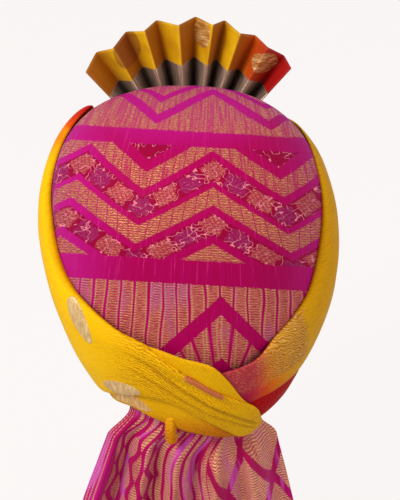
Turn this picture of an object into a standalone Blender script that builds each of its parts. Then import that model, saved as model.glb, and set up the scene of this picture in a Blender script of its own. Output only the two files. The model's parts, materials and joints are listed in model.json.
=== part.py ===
"""Tied turban (pagri) with a pleated fan and a hanging tail, in metres, +Z up.

The origin is the centre of the head opening at brow level. +Y is the way the wearer faces and +X is the
wearer's right hand. Directions round the head are turns in degrees from the nape (-Y), positive toward +X.
"""

import math

import bmesh
import bpy
import numpy as np

MM = 0.001

# Driving dimensions of the wound bundle, in millimetres.
HALF_WIDTH = 112.0
BACK_REACH = 120.0
FRONT_REACH = 124.0
CROWN_TOP = 135.0
WAIST = 45.0
NAPE_DROP = 88.0
RIM_POWER = 1.12
WRAP_LIFT = 9.5
CLOTH = 2.0
GAP = 0.7

# How the bundle rounds over the top, squares off in plan and tucks in toward the neck.
DOME_POWER = 2.65
PLAN_POWER = 2.2
TUCK_SPAN = 140.0
TUCK_SIDE = 0.40
TUCK_BACK = 0.13
TUCK_FRONT = 0.05
TOP_LEAN = 4.5
LEAN_START = 55.0
HIP_SHIFT = 2.5

# The head hollow.
HEAD_HALF_WIDTH = 80.0
HEAD_HALF_LENGTH = 95.0
HEAD_HEIGHT = 98.0
WINDING_TOP = 68.0
WINDING_RISE = 5.0

# The flat front of the crown cloth, which leaves the pocket that the fan stands in.
POCKET_DEPTH = 41.0
POCKET_BOW = 6.0
POCKET_HALF = 80.0
SKIRT_TURN = 55.0
SKIRT_END_TURN = 102.0
SKIRT_RISE = 9.0

# The chevron folds over the brow.
FOLD_COUNT = 4
FOLD_STEP = 16.0
FOLD_WIDTH = 26.0
FOLD_CLOTH = 2.4
FOLD_LIFT = 4.9
FOLD_TURN = 78.0
FOLD_PINCH = 0.33

# The fan.
FAN_PANELS = 14
FAN_ROOT_Z = 39.0
FAN_STAND = 11.5
FAN_HALF_TURN = 41.0
FAN_REACH = 132.5
FAN_PANEL = 20.5
FAN_CLOTH = 1.0
FAN_FLAT = 1.5

# The tail.
TAIL_FOLDS = 5
TAIL_WAVE = 6.5
TAIL_LEFT_TURN = -35.0
TAIL_RIGHT_TURN = 50.0
TAIL_EASE = 26.0


def turn_axes(turn):
    """Sine and cosine of a turn from the nape, the cosine pointing forward."""
    return math.sin(math.radians(turn)), -math.cos(math.radians(turn))


def signed_power(value, power):
    return math.copysign(abs(value) ** power, value)


def smooth(value):
    value = min(max(value, 0.0), 1.0)
    return value * value * (3.0 - 2.0 * value)


def lean(z):
    """Sideways shift of the bundle: the top leans left and the lower turns sit to the right."""
    if z > LEAN_START:
        return -TOP_LEAN * ((z - LEAN_START) / (CROWN_TOP - LEAN_START)) ** 1.2
    return HIP_SHIFT * smooth((LEAN_START - z) / TUCK_SPAN)


def plan_point(turn, z, side, back, front, shrink):
    """A point of the superellipse with these reaches."""
    across, forward = turn_axes(turn)
    reach = front if forward > 0 else back
    x = side * signed_power(across, 2.0 / PLAN_POWER) * shrink
    y = reach * signed_power(forward, 2.0 / PLAN_POWER) * shrink
    return x + lean(z), y, z


def wound(turn, z, lift):
    """A point at this turn and height, lift outside the bundle's main surface."""
    top = CROWN_TOP + 0.7 * (lift + WRAP_LIFT)
    rise = min(max((z - WAIST) / (top - WAIST), 0.0), 1.0)
    shrink = (1.0 - rise ** DOME_POWER) ** (1.0 / DOME_POWER)
    drop = min(max((WAIST - z) / TUCK_SPAN, 0.0), 1.3) ** 2
    side = (HALF_WIDTH + lift) * (1.0 - TUCK_SIDE * drop)
    back = (BACK_REACH + lift) * (1.0 - TUCK_BACK * drop)
    front = (FRONT_REACH + lift) * (1.0 - TUCK_FRONT * drop)
    return plan_point(turn, z, side, back, front, shrink)


def hollow(turn, z):
    """A point of the head hollow, skull-shaped above the brow and easing in to the neck below it."""
    rise = min(max(z / HEAD_HEIGHT, 0.0), 0.95)
    shrink = (1.0 - rise ** 2.6) ** (1.0 / 2.6)
    drop = min(max((WAIST - z) / TUCK_SPAN, 0.0), 1.3) ** 2
    side = HEAD_HALF_WIDTH * (1.0 - 0.38 * drop)
    back = HEAD_HALF_LENGTH * (1.0 - 0.14 * drop)
    return plan_point(turn, z, side, back, HEAD_HALF_LENGTH, shrink)


def rim(turn):
    """Height of the bottom edge: level over the brow, falling to the nape."""
    return -NAPE_DROP * ((1.0 + math.cos(math.radians(turn))) / 2.0) ** RIM_POWER


def from_front(turn):
    """Degrees between this turn and the front centre."""
    return abs((turn % 360.0) - 180.0)


def blend(rows, place):
    """Row values at a fractional row number, by a smooth curve through the rows."""
    rows = np.asarray(rows, float)
    last = len(rows) - 1
    place = min(max(place, 0.0), float(last))
    at = min(int(place), last - 1)
    t = place - at
    before = rows[max(at - 1, 0)]
    start = rows[at]
    end = rows[at + 1]
    after = rows[min(at + 2, last)]
    bend = 2.0 * before - 5.0 * start + 4.0 * end - after
    twist = 3.0 * (start - end) + after - before
    return 0.5 * (2.0 * start + (end - before) * t + bend * t * t + twist * t ** 3)


def cloth_material(name, colour, roughness, metallic=0.0):
    material = bpy.data.materials.new(name)
    material.use_nodes = True
    shader = material.node_tree.nodes["Principled BSDF"]
    shader.inputs["Base Color"].default_value = (*colour, 1.0)
    shader.inputs["Roughness"].default_value = roughness
    shader.inputs["Metallic"].default_value = metallic
    return material


def add_object(name, mesh, material):
    obj = bpy.data.objects.new(name, mesh)
    obj.data.materials.append(material)
    TURBAN.objects.link(obj)
    return obj


def shaped_grid(name, across, along, place, material, flat=False):
    """A grid of quads whose points are moved to place(u, v), u and v from 0 to 1, with its seams joined."""
    mesh = bpy.data.meshes.new(name)
    build = bmesh.new()
    bmesh.ops.create_grid(build, x_segments=across, y_segments=along, size=0.5)
    for vert in build.verts:
        u = vert.co.x + 0.5
        v = vert.co.y + 0.5
        vert.co = [c * MM for c in place(u, v)]
    bmesh.ops.remove_doubles(build, verts=build.verts, dist=0.00001)
    bmesh.ops.dissolve_degenerate(build, edges=build.edges, dist=0.000001)
    for face in build.faces:
        face.smooth = not flat
    build.to_mesh(mesh)
    build.free()
    return add_object(name, mesh, material)


def thicken(obj, thickness, offset):
    """Gives an open sheet its wall. An offset of -1 puts the wall behind the faces, 1 in front."""
    solid = obj.modifiers.new("wall", "SOLIDIFY")
    solid.thickness = thickness * MM
    solid.offset = offset
    solid.use_even_offset = True
    solid.use_rim = True
    return obj


def close_ends(obj):
    """Caps the open ends of a tube and turns every face outward."""
    build = bmesh.new()
    build.from_mesh(obj.data)
    open_edges = [edge for edge in build.edges if edge.is_boundary]
    if open_edges:
        bmesh.ops.holes_fill(build, edges=open_edges)
    bmesh.ops.recalc_face_normals(build, faces=build.faces)
    build.to_mesh(obj.data)
    build.free()
    return obj


def pocket_bow(x):
    """How far the pocket and the fan in it curve back toward the nape at this distance from the middle."""
    return POCKET_BOW * min(abs(x) / POCKET_HALF, 1.0) ** 2


def crown_place(u, v):
    """The crown cloth, from its tucked skirt (v = 0) to the top (v = 1)."""
    turn = 360.0 * u
    from_nape = 180.0 - from_front(turn)
    toward_front = smooth((from_nape - SKIRT_TURN) / (SKIRT_END_TURN - SKIRT_TURN))
    low = rim(turn) + SKIRT_RISE
    low = low + (WINDING_TOP + 1.0 - low) * toward_front
    share = (low - WAIST) / (CROWN_TOP - WAIST)
    if low > WAIST:
        start = math.asin(share ** (DOME_POWER / 2.0)) / (math.pi / 2.0)
    else:
        start = share
    place = start + (1.0 - start) * v
    if place < 0.0:
        z = WAIST + place * (CROWN_TOP - WAIST)
    else:
        z = WAIST + (CROWN_TOP - WAIST) * math.sin(place * math.pi / 2.0) ** (2.0 / DOME_POWER)
    x, y, z = wound(turn, z, -WRAP_LIFT)
    if y > 0.0:
        flat = FRONT_REACH - POCKET_DEPTH - pocket_bow(x)
        y = y / (1.0 + (y / flat) ** 8) ** 0.125
    return x, y, z


def winding_place(u, v):
    """The inner winding: v runs round its section, outer face, top, hollow, rim."""
    turn = 360.0 * u
    angle = 2.0 * math.pi * v
    low = rim(turn) + WINDING_RISE
    up = 0.5 + 0.5 * signed_power(math.sin(angle), 0.5)
    out = 0.5 + 0.5 * signed_power(math.cos(angle), 0.5)
    z = low + (WINDING_TOP - low) * up
    outer = np.array(wound(turn, z, -WRAP_LIFT - CLOTH - 2.0 * GAP))
    inner = np.array(hollow(turn, z))
    return tuple(inner + (outer - inner) * out)


# The last turn, along its run. Turns are degrees from the nape and run on past 360. Heights are shares of
# the crown's top, lifts and fullness are shares of WRAP_LIFT: the lift of the cloth's inner face at its upper
# and lower edge, and how full the turn is in its middle.
LAST_TURN = (
    # up_turn, up_height, low_turn, low_height, up_lift, low_lift, fullness
    (11.0, -0.21, 11.0, -0.50, -0.36, -0.36, 0.26),
    (26.0, -0.17, 30.0, -0.46, -0.50, -0.36, 0.28),
    (37.0, -0.08, 43.0, -0.42, -0.90, -0.10, 0.40),
    (47.0, -0.005, 55.0, -0.395, -0.93, -0.02, 0.50),
    (57.0, 0.09, 65.0, -0.365, -0.93, -0.02, 0.55),
    (64.0, 0.27, 74.0, -0.32, -0.93, -0.02, 0.60),
    (70.0, 0.46, 83.0, -0.27, -0.93, -0.02, 0.60),
    (79.0, 0.64, 92.0, -0.235, -0.93, -0.08, 0.50),
    (93.0, 0.76, 101.0, -0.22, -0.90, -0.34, 0.36),
    (110.0, 0.79, 112.0, -0.08, -0.78, -0.34, 0.28),
    (134.0, 0.75, 134.0, 0.17, 0.00, -0.34, 0.34),
    (157.0, 0.70, 157.0, 0.335, 0.35, -0.34, 0.34),
    (180.0, 0.69, 180.0, 0.42, 0.20, -0.34, 0.34),
    (203.0, 0.70, 203.0, 0.335, 0.35, -0.34, 0.34),
    (225.0, 0.79, 226.0, 0.17, -0.05, -0.34, 0.36),
    (237.0, 0.85, 238.0, 0.05, -0.60, -0.34, 0.46),
    (248.0, 0.87, 249.0, -0.08, -0.78, -0.34, 0.62),
    (262.0, 0.74, 259.0, -0.22, -0.90, -0.34, 0.80),
    (275.0, 0.565, 270.0, -0.31, -0.93, -0.60, 0.95),
    (287.0, 0.42, 283.0, -0.41, -0.93, -0.90, 1.05),
    (295.0, 0.28, 295.0, -0.48, -0.93, -0.93, 1.15),
    (305.0, 0.16, 306.0, -0.515, -0.93, -0.93, 1.20),
    (319.0, 0.09, 318.0, -0.505, -0.80, -0.62, 1.00),
    (333.0, 0.015, 330.0, -0.485, -0.62, -0.60, 0.88),
    (345.0, -0.03, 342.0, -0.52, -0.62, -0.60, 0.86),
    (355.0, -0.08, 353.0, -0.57, -0.45, -0.55, 0.70),
    (366.0, -0.135, 365.0, -0.615, -0.02, -0.02, 0.34),
    (374.0, -0.235, 376.0, -0.645, 0.00, 0.00, 0.32),
    (383.0, -0.375, 388.0, -0.675, 0.05, 0.05, 0.32),
    (389.0, -0.45, 397.0, -0.69, 0.15, 0.10, 0.32),
    (394.0, -0.50, 404.0, -0.68, 0.20, 0.10, 0.30),
)

# The lower turn at the right back, in the same terms.
UNDER_TURN = (
    (13.0, -0.43, 13.0, -0.60, -0.64, -0.64, 0.20),
    (26.0, -0.40, 26.0, -0.60, -0.62, -0.62, 0.20),
    (38.0, -0.36, 38.0, -0.60, -0.60, -0.60, 0.28),
    (50.0, -0.33, 51.0, -0.58, -0.62, -0.62, 0.52),
    (62.0, -0.30, 64.0, -0.54, -0.84, -0.84, 0.76),
    (74.0, -0.25, 76.0, -0.45, -0.92, -0.92, 0.84),
    (84.0, -0.19, 86.0, -0.34, -0.93, -0.93, 0.70),
    (92.0, -0.14, 93.0, -0.26, -0.93, -0.93, 0.50),
)


def turn_place(table, outer_points):
    """A band that follows a table of stations: v runs over its full outer face and back along its inner face."""
    last = len(table) - 1

    def place(u, v):
        up_turn, up_z, low_turn, low_z, up_lift, low_lift, full = blend(table, u * last)
        loop = v * 2.0
        if loop <= 1.0:
            share = 0.5 - 0.5 * math.cos(math.pi * loop)
            swell = max(1.0 - abs(2.0 * share - 1.0) ** 4.0, 0.0) ** 0.25
        else:
            share = 2.0 - loop
            swell = 0.0
        turn = low_turn + (up_turn - low_turn) * share
        z = CROWN_TOP * (low_z + (up_z - low_z) * share)
        inner = up_lift + (low_lift - up_lift) * (1.0 - share * share)
        lift = WRAP_LIFT * (inner + full * swell)
        return wound(turn, z, lift)

    return place


def fold_place(number):
    """One chevron fold: v = 0 is its loose lower edge, v = 1 its upper edge under the next fold."""

    def place(u, v):
        turn = 180.0 + FOLD_TURN * (2.0 * u - 1.0)
        pinch = 1.0 - (1.0 - FOLD_PINCH) * from_front(turn) / FOLD_TURN
        low = rim(turn) + number * FOLD_STEP * pinch
        z = low + FOLD_WIDTH * pinch * v
        base = -WRAP_LIFT - CLOTH
        lift = base + FOLD_LIFT * (1.0 - v)
        return wound(turn, z, lift)

    return place


# The fan's folds from left to right: turns are shares of FAN_HALF_TURN and reaches shares of FAN_REACH. The
# first, third and so on stand nearer the crown.
FAN_FOLDS = (
    # turn, reach
    (-1.00, 0.940),
    (-0.86, 0.970),
    (-0.685, 0.962),
    (-0.55, 0.988),
    (-0.385, 0.985),
    (-0.275, 0.998),
    (-0.093, 0.982),
    (0.054, 1.000),
    (0.195, 0.993),
    (0.300, 1.000),
    (0.434, 0.983),
    (0.585, 0.975),
    (0.700, 0.974),
    (0.885, 0.961),
    (0.965, 0.952),
)


def fan_place(u, v):
    """The pleated fan: u steps through the pleats, each fold with a narrow flat edge, v from foot to rim."""
    step = int(round(u * (2 * FAN_PANELS - 1)))
    fold = (step + 1) // 2
    side = 0.5 - step % 2
    if fold in (0, FAN_PANELS):
        side = 0.0
    turn_share, reach_share = FAN_FOLDS[fold]
    angle = math.radians(FAN_HALF_TURN * turn_share)
    foot = (WINDING_TOP + GAP - FAN_ROOT_Z) / math.cos(angle)
    r = foot + (FAN_REACH * reach_share - foot) * v
    span = max(r * math.radians(2.0 * FAN_HALF_TURN / FAN_PANELS) - FAN_FLAT, 0.1)
    depth = math.sqrt(FAN_PANEL ** 2 - span ** 2)
    near = -0.5 if fold % 2 == 0 else 0.5
    x = r * math.sin(angle) + side * FAN_FLAT * math.cos(angle)
    z = FAN_ROOT_Z + r * math.cos(angle) - side * FAN_FLAT * math.sin(angle)
    middle = FRONT_REACH - POCKET_DEPTH + FAN_STAND - pocket_bow(x)
    return x, middle + near * depth, z


# The tail, down its length. Heights are shares of CROWN_TOP, the places across are shares of HALF_WIDTH, the
# places back from the middle are shares of BACK_REACH, and the wave is a share of TAIL_WAVE.
TAIL = (
    # height, left, right, left_back, right_back, middle_back, wave
    (-0.40, -0.393, 0.500, 0.792, 0.583, 0.883, 0.0),
    (-0.50, -0.429, 0.518, 0.783, 0.517, 0.858, 0.1),
    (-0.60, -0.500, 0.545, 0.758, 0.467, 0.842, 0.35),
    (-0.71, -0.545, 0.571, 0.750, 0.458, 0.833, 0.7),
    (-0.88, -0.616, 0.616, 0.750, 0.492, 0.833, 1.0),
    (-1.14, -0.723, 0.696, 0.750, 0.542, 0.833, 1.05),
    (-1.45, -0.821, 0.777, 0.750, 0.575, 0.842, 1.1),
    (-1.84, -0.902, 0.839, 0.758, 0.600, 0.850, 1.1),
)

# Height, as a share of CROWN_TOP, where the tail comes free of the turns, from its left edge to its right.
TAIL_FREE = ((-0.50,), (-0.55,), (-0.64,), (-0.71,), (-0.65,))


def tail_place(u, v):
    """The tail: gripped on the bundle's surface at its top, hanging in soft folds below the rim."""
    height, left, right, left_back, right_back, middle_back, wave = blend(TAIL, v * (len(TAIL) - 1))
    z = CROWN_TOP * height
    edge_back = left_back + (right_back - left_back) * u
    hang_x = HALF_WIDTH * (left + (right - left) * u)
    hang_y = -BACK_REACH * (middle_back + (edge_back - middle_back) * abs(2.0 * u - 1.0) ** 2.2)
    hang_y = hang_y - TAIL_WAVE * wave * math.sin(2.0 * math.pi * TAIL_FOLDS * u)
    turn = TAIL_LEFT_TURN + (TAIL_RIGHT_TURN - TAIL_LEFT_TURN) * u
    grip_x, grip_y, _ = wound(turn, z, GAP - WRAP_LIFT)
    free = CROWN_TOP * blend(TAIL_FREE, u * (len(TAIL_FREE) - 1))[0]
    loose = smooth((free - z) / TAIL_EASE)
    return grip_x + (hang_x - grip_x) * loose, grip_y + (hang_y - grip_y) * loose, z


for old in list(bpy.data.objects):
    bpy.data.objects.remove(old, do_unlink=True)

TURBAN = bpy.data.collections.new("tied_turban_pagri")
bpy.context.scene.collection.children.link(TURBAN)

BROCADE = cloth_material("magenta_brocade", (0.42, 0.02, 0.10), 0.45)
YELLOW = cloth_material("yellow_cloth", (0.83, 0.45, 0.03), 0.7)
CRIMSON = cloth_material("crimson_cloth", (0.45, 0.02, 0.03), 0.6)
LINING = cloth_material("inner_cotton", (0.60, 0.30, 0.06), 0.8)

crown = shaped_grid("crown_cloth", 48, 12, crown_place, BROCADE)
thicken(crown, CLOTH, -1.0)

winding = shaped_grid("inner_winding", 48, 14, winding_place, LINING)
close_ends(winding)

last_turn = shaped_grid("last_turn", 87, 16, turn_place(LAST_TURN, 9), YELLOW)
close_ends(last_turn)

under_turn = shaped_grid("under_turn", 18, 14, turn_place(UNDER_TURN, 9), CRIMSON)
close_ends(under_turn)

for count in range(FOLD_COUNT):
    fold = shaped_grid(f"front_fold_{count + 1}", 26, 3, fold_place(count), YELLOW)
    thicken(fold, FOLD_CLOTH, 1.0)

fan = shaped_grid("fan", 2 * FAN_PANELS - 1, 5, fan_place, YELLOW, flat=True)
thicken(fan, FAN_CLOTH, 0.0)

tail = shaped_grid("tail", 40, 11, tail_place, BROCADE)
thicken(tail, CLOTH, -1.0)
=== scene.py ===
# %% [markdown]
# # A tied turban with a pleated fan and a hanging tail
#
# This notebook dresses a packed model of a turban, seen from the back. The real one is a few metres of cloth:
# a woven silk and gold crown piece pulled over a ring of inner turns, a yellow cloth wound round it as a thick
# last turn, the cloth's starched end opened as a fan above the brow, and its loose end hanging as a tail.
# Every piece is cloth, so each one is a grid that is moved to its place by a function, given a thin wall and
# shaded with a weave that follows the cloth's own measure across and down.

# %% Load the packed model
import json
import math

import bpy
import numpy as np
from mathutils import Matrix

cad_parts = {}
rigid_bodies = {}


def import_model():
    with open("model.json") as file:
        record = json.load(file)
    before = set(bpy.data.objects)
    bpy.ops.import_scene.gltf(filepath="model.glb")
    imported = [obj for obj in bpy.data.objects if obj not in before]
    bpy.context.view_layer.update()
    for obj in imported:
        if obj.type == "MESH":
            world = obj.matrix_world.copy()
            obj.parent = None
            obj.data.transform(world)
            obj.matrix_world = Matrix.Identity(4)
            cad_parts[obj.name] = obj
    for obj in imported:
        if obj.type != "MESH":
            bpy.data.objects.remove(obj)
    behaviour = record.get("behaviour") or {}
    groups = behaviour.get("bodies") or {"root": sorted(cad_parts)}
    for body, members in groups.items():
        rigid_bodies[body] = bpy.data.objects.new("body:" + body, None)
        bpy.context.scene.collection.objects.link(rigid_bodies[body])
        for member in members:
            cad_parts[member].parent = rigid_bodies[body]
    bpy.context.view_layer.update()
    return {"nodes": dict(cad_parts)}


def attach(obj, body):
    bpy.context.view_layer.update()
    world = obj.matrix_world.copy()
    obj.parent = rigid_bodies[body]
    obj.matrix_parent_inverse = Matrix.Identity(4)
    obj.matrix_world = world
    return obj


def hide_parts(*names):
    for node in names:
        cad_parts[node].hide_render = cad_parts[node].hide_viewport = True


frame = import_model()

print("packed nodes:", ", ".join(sorted(frame["nodes"])))

# %% [markdown]
# The wound bundle is one squared-off dome. The sizes below are the packed model's own, in millimetres, so that
# each cloth lies exactly where its solid is. A turn is an angle round the head, counted from the nape.

# %% Sizes of the bundle
MM = 0.001
HALF_WIDTH, BACK_REACH, FRONT_REACH = 112.0, 120.0, 124.0
CROWN_TOP, WAIST, NAPE_DROP, RIM_POWER = 135.0, 45.0, 88.0, 1.12
WRAP_LIFT, CLOTH, GAP = 9.5, 2.0, 0.7
DOME_POWER, PLAN_POWER = 2.65, 2.2
TUCK_SPAN, TUCK_SIDE, TUCK_BACK, TUCK_FRONT = 140.0, 0.40, 0.13, 0.05
TOP_LEAN, LEAN_START, HIP_SHIFT = 4.5, 55.0, 2.5
HEAD_HALF_WIDTH, HEAD_HALF_LENGTH, HEAD_HEIGHT = 80.0, 95.0, 98.0
WINDING_TOP, WINDING_RISE = 68.0, 5.0
POCKET_DEPTH, POCKET_BOW, POCKET_HALF = 41.0, 6.0, 80.0
SKIRT_TURN, SKIRT_END_TURN, SKIRT_RISE = 55.0, 102.0, 9.0
HEAD_POWER, HEAD_TUCK_SIDE, HEAD_TUCK_BACK = 2.6, 0.38, 0.14
print("outside in mm:", 2 * HALF_WIDTH, "x", BACK_REACH + FRONT_REACH)
print("hollow in mm:", 2 * HEAD_HALF_WIDTH, "x", 2 * HEAD_HALF_LENGTH, "x", HEAD_HEIGHT)

# %% [markdown]
# The dome could be modelled by hand and each cloth shrunk onto it. A formula is used instead, because it gives
# a point for any turn, height and lift, so that many layers can lie on each other without gaps.

# %% Surface of the bundle
def smooth(value):
    value = np.clip(value, 0.0, 1.0)
    return value * value * (3.0 - 2.0 * value)


def signed_power(value, power):
    return np.sign(value) * np.abs(value) ** power


def lean(z):
    rise = np.clip((z - LEAN_START) / (CROWN_TOP - LEAN_START), 0.0, None)
    return HIP_SHIFT * smooth((LEAN_START - z) / TUCK_SPAN) - TOP_LEAN * rise ** 1.2


def plan_point(turn, z, side, back, front, shrink):
    """A point of the squared oval with these reaches."""
    across, forward = np.sin(np.radians(turn)), -np.cos(np.radians(turn))
    reach = np.where(forward > 0, front, back)
    x = side * signed_power(across, 2.0 / PLAN_POWER) * shrink + lean(z)
    return x, reach * signed_power(forward, 2.0 / PLAN_POWER) * shrink, z


def tuck(z):
    """How far the cloth is drawn in below the waist, growing toward the bottom edge."""
    return np.clip((WAIST - z) / TUCK_SPAN, 0.0, 1.3) ** 2


def wound(turn, z, lift):
    """A point at this turn and height, lift outside the bundle's main surface."""
    top = CROWN_TOP + 0.7 * (lift + WRAP_LIFT)
    rise = np.clip((z - WAIST) / (top - WAIST), 0.0, 1.0)
    shrink = (1.0 - rise ** DOME_POWER) ** (1.0 / DOME_POWER)
    drop = tuck(z)
    side = (HALF_WIDTH + lift) * (1.0 - TUCK_SIDE * drop)
    back = (BACK_REACH + lift) * (1.0 - TUCK_BACK * drop)
    front = (FRONT_REACH + lift) * (1.0 - TUCK_FRONT * drop)
    return plan_point(turn, z, side, back, front, shrink)


def hollow(turn, z):
    """A point of the head hollow."""
    shrink = (1.0 - np.clip(z / HEAD_HEIGHT, 0.0, 0.95) ** HEAD_POWER) ** (1.0 / HEAD_POWER)
    drop = tuck(z)
    side = HEAD_HALF_WIDTH * (1.0 - HEAD_TUCK_SIDE * drop)
    back = HEAD_HALF_LENGTH * (1.0 - HEAD_TUCK_BACK * drop)
    return plan_point(turn, z, side, back, HEAD_HALF_LENGTH, shrink)


def rim(turn):
    """Height of the bottom edge: level over the brow, falling to the nape."""
    return -NAPE_DROP * ((1.0 + np.cos(np.radians(turn))) / 2.0) ** RIM_POWER


def from_front(turn):
    return np.abs(turn % 360.0 - 180.0)


print("nape edge at", round(float(rim(0.0)), 1), "mm, brow edge at", round(float(rim(180.0)), 1), "mm")

# %% [markdown]
# A cloth that follows a table of stations runs smoothly through them, as a fair curve runs through its pins.
# Real cloth is never even either, so a few long sine waves laid over each other give its soft unevenness.

# %% Fair curves and soft unevenness
def blend(rows, place):
    """The rows' values at fractional row numbers, by a smooth curve through the rows."""
    rows = np.asarray(rows, float)
    last = len(rows) - 1
    place = np.clip(np.asarray(place, float), 0.0, last)
    at = np.minimum(place.astype(int), last - 1)
    t = (place - at)[:, None]
    before, start = rows[np.maximum(at - 1, 0)], rows[at]
    end, after = rows[at + 1], rows[np.minimum(at + 2, last)]
    bend = 2.0 * before - 5.0 * start + 4.0 * end - after
    twist = 3.0 * (start - end) + after - before
    return (0.5 * (2.0 * start + (end - before) * t + bend * t * t + twist * t ** 3)).T


def uneven(across, down, seed, waves=7):
    """Soft unevenness between about -1 and 1 over measures whose wavelength is about 6."""
    chance = np.random.default_rng(seed)
    total = np.zeros_like(across)
    for _ in range(waves):
        a, b, phase = chance.uniform(0.4, 1.6), chance.uniform(-1.3, 1.3), chance.uniform(0.0, 6.3)
        total = total + np.sin(across * a + down * b + phase)
    return total * 1.6 / waves


print("unevenness at three places:", uneven(np.array([0.0, 3.0, 9.0]), np.array([0.0, 1.0, 2.0]), 4).round(2))

# %% [markdown]
# Cloth starts here as a flat grid primitive. Its points are then moved to their places, its own measure across
# and down is kept as a UV map in millimetres, and its seam is merged. The wall comes last, from Solidify, so
# that the faces are turned outward while the cloth is still a single layer.

# %% Make a cloth from a grid
def cloth_grid(name, across, along, place, measure):
    bpy.ops.object.select_all(action="DESELECT")
    bpy.ops.mesh.primitive_grid_add(x_subdivisions=across, y_subdivisions=along, size=1.0)
    obj = bpy.context.object
    obj.name = obj.data.name = name
    mesh = obj.data
    flat = np.empty(len(mesh.vertices) * 3, np.float32)
    mesh.vertices.foreach_get("co", flat)
    u, v = (flat.reshape(-1, 3)[:, :2].astype(float) + 0.5).T
    x, y, z = place(u, v)
    mesh.vertices.foreach_set("co", (np.stack((x, y, z), 1) * MM).astype(np.float32).ravel())
    corner = np.empty(len(mesh.loops), np.int32)
    mesh.loops.foreach_get("vertex_index", corner)
    marks = np.stack(np.broadcast_arrays(*measure(u, v, x, y, z)), 1)[corner]
    mesh.uv_layers[0].name = "cloth"
    mesh.uv_layers["cloth"].data.foreach_set("uv", marks.astype(np.float32).ravel())
    mesh.update()
    return obj


def outward(obj, centre=(0.0, 0.0, 0.02), closed=False):
    """Merges the seam and turns the faces away from the centre, or from the inside of a closed piece."""
    bpy.ops.object.mode_set(mode="EDIT")
    bpy.ops.mesh.select_all(action="SELECT")
    bpy.ops.mesh.remove_doubles(threshold=0.00001)
    bpy.ops.mesh.dissolve_degenerate(threshold=0.000001)
    if closed:
        bpy.ops.mesh.select_all(action="DESELECT")
        bpy.ops.mesh.select_non_manifold(extend=False, use_wire=False, use_multi_face=False, use_verts=False)
        bpy.ops.mesh.fill_holes(sides=0)
        bpy.ops.mesh.select_all(action="SELECT")
    bpy.ops.mesh.normals_make_consistent(inside=False)
    bpy.ops.object.mode_set(mode="OBJECT")
    if not closed:
        away = sum(f.normal.dot(f.center - type(f.center)(centre)) * f.area for f in obj.data.polygons)
        if away < 0.0:
            bpy.ops.object.mode_set(mode="EDIT")
            bpy.ops.mesh.select_all(action="SELECT")
            bpy.ops.mesh.flip_normals()
            bpy.ops.object.mode_set(mode="OBJECT")
    return obj


def give_wall(obj, thickness, offset=-1.0):
    wall = obj.modifiers.new("wall", "SOLIDIFY")
    wall.thickness, wall.offset, wall.use_even_offset, wall.use_rim = thickness * MM, offset, False, True
    bpy.ops.object.modifier_apply(modifier=wall.name)
    return obj


def soft_shade(obj):
    bpy.ops.object.shade_smooth()
    obj.location = (0.0, 0.0, 0.0)
    surface = round(sum(f.area for f in obj.data.polygons), 4)
    print(obj.name, "has", len(obj.data.polygons), "faces and", surface, "m2")


# %% [markdown]
# Shader maths is easier to read as sums than as boxes and wires. This small class holds one socket, and the
# operators on it add Math nodes. Colours are mixed by Mix nodes, and one method makes any other node.

# %% Shader maths as Python sums
class Field:
    def __init__(self, tree, socket=None):
        self.tree, self.socket = tree, socket

    def node(self, kind, settings=None, inputs=None, output=0):
        made = self.tree.nodes.new(kind)
        for key, value in (settings or {}).items():
            setattr(made, key, value)
        for key, value in (inputs or {}).items():
            if isinstance(value, Field):
                self.tree.links.new(value.socket, made.inputs[key])
            else:
                made.inputs[key].default_value = value
        return Field(self.tree, made.outputs[output])

    def math(self, operation, *values):
        return self.node("ShaderNodeMath", {"operation": operation}, dict(enumerate(values)))

    def __add__(self, other):
        return self.math("ADD", self, other)

    __radd__ = __add__

    def __mul__(self, other):
        return self.math("MULTIPLY", self, other)

    __rmul__ = __mul__

    def __sub__(self, other):
        return self.math("SUBTRACT", self, other)

    def __rsub__(self, other):
        return self.math("SUBTRACT", other, self)

    def __truediv__(self, other):
        return self.math("DIVIDE", self, other)

    def __rtruediv__(self, other):
        return self.math("DIVIDE", other, self)

    def __abs__(self):
        return self.math("ABSOLUTE", self)

    def fold(self, half):
        """0, up to half, and back to 0, again and again."""
        return self.math("PINGPONG", self, half)

    def sine(self):
        return self.math("SINE", self)

    def over(self, low, high):
        """0 below low, 1 above high, with a soft step between."""
        return self.node("ShaderNodeMapRange", {"interpolation_type": "SMOOTHSTEP"},
                         {"Value": self, "From Min": low, "From Max": high})

    def between(self, low, high, soft):
        return self.over(low - soft, low + soft) * (1.0 - self.over(high - soft, high + soft))

    def either(self, other):
        return self.math("MAXIMUM", self, other)

    def both(self, other):
        return self.math("MINIMUM", self, other)

    def cloth(self):
        """The measures across and down the cloth, in millimetres."""
        place = self.node("ShaderNodeUVMap", {"uv_map": "cloth"})
        return [self.node("ShaderNodeSeparateXYZ", {}, {0: place}, axis) for axis in (0, 1)]

    def place(self, axis):
        """The place along one axis of the object, in millimetres."""
        point = self.node("ShaderNodeTexCoord", {}, {}, 3)
        return point.node("ShaderNodeSeparateXYZ", {}, {0: point}, axis) * 1000.0

    def noise(self, across, down, detail=2.0, third=0.0):
        """A cloud pattern from 0 to 1 over two measures that are already scaled to its grain."""
        point = self.node("ShaderNodeCombineXYZ", {}, {0: across, 1: down, 2: third})
        return self.node("ShaderNodeTexNoise", {}, {"Vector": point, "Scale": 1.0, "Detail": detail})

    def mix(self, colour, other):
        """The colour where this is 0, the other where it is 1."""
        return self.node("ShaderNodeMix", {"data_type": "RGBA"}, {0: self, 6: colour, 7: other}, 2)


print("methods of a field:", ", ".join(name for name in vars(Field) if not name.startswith("_")))

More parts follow.
